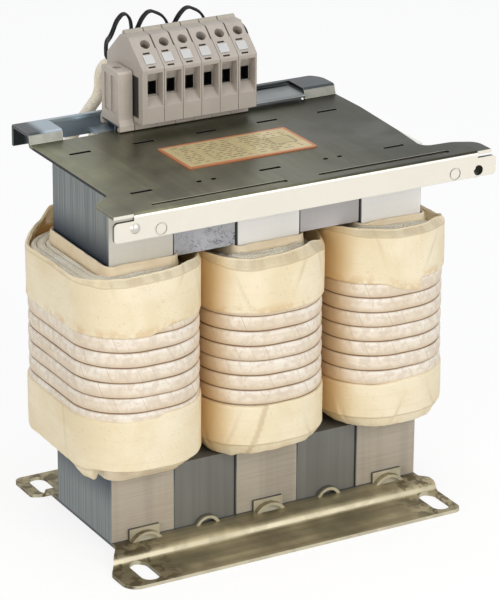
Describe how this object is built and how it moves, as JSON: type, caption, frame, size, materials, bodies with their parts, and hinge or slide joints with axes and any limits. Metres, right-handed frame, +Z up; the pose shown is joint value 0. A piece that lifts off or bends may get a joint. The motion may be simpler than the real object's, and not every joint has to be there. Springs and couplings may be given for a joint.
{
  "type": "sine wave filter",
  "caption": "Open three-phase iron-core choke of a sine wave filter: sheet core, taped coils, folded steel frames with slotted feet and a row of screw terminals on top.",
  "frame": {"origin": "under the middle of the core, on the plane that the feet stand on", "axes": "+X along the core to the right, +Y to the back, where the wires rise, +Z up along the core legs"},
  "size_m": [0.2476, 0.19, 0.2771],
  "materials": {
    "frame_steel": "plated sheet steel, slightly olive",
    "rail_steel": "plated sheet steel",
    "core_sheets": "stacked electrical steel, varnished",
    "gap_card": "dark pressed card",
    "former_card": "wound insulating card",
    "paper_wrapped_wire": "lapped insulating paper",
    "cotton_tape": "varnished cotton tape",
    "lead_sleeve": "woven sleeve",
    "black_wire": "thin insulated wire",
    "terminal_plastic": "moulded polyamide",
    "bracket_plastic": "moulded polyamide",
    "carrier_plastic": "moulded polyamide",
    "marker_white": "smooth",
    "cage_steel": "plated",
    "screw_steel": "plated",
    "rivet_steel": "plated",
    "label_foil": "printed foil"
  },
  "bodies": {
    "root": {"bottom_frame": "frame_steel", "bracket_screw": "screw_steel", "clamp_cages": "cage_steel", "clamp_screws": "screw_steel", "coil_former_left": "former_card", "coil_former_middle": "former_card", "coil_former_right": "former_card", "coil_lead_left_end": "lead_sleeve", "coil_lead_left_start": "lead_sleeve", "coil_lead_middle_end": "lead_sleeve", "coil_lead_middle_start": "lead_sleeve", "coil_lead_right_end": "lead_sleeve", "coil_lead_right_start": "lead_sleeve", "core_leg_left": "core_sheets", "core_leg_middle": "core_sheets", "core_leg_right": "core_sheets", "earth_rivet": "rivet_steel", "end_bracket": "bracket_plastic", "gap_sheet_lower_left": "gap_card", "gap_sheet_lower_right": "gap_card", "gap_sheet_upper_left": "gap_card", "gap_sheet_upper_right": "gap_card", "marker_carriers": "carrier_plastic", "marker_tags": "marker_white", "rating_plate": "label_foil", "sensor_wire_1a": "black_wire", "sensor_wire_1b": "black_wire", "sensor_wire_2a": "black_wire", "sensor_wire_2b": "black_wire", "sensor_wire_3a": "black_wire", "sensor_wire_3b": "black_wire", "sensor_wire_4": "black_wire", "tape_band_lower_left": "cotton_tape", "tape_band_lower_middle": "cotton_tape", "tape_band_lower_right": "cotton_tape", "tape_band_upper_left": "cotton_tape", "tape_band_upper_middle": "cotton_tape", "tape_band_upper_right": "cotton_tape", "terminal_block_1": "terminal_plastic", "terminal_block_2": "terminal_plastic", "terminal_block_3": "terminal_plastic", "terminal_block_4": "terminal_plastic", "terminal_block_5": "terminal_plastic", "terminal_block_6": "terminal_plastic", "terminal_end_plate": "terminal_plastic", "terminal_rail": "rail_steel", "top_frame": "frame_steel", "winding_left": "paper_wrapped_wire", "winding_middle": "paper_wrapped_wire", "winding_right": "paper_wrapped_wire", "yoke_lower_left": "core_sheets", "yoke_lower_right": "core_sheets", "yoke_upper_left": "core_sheets", "yoke_upper_right": "core_sheets"}
  },
  "joints": []
}
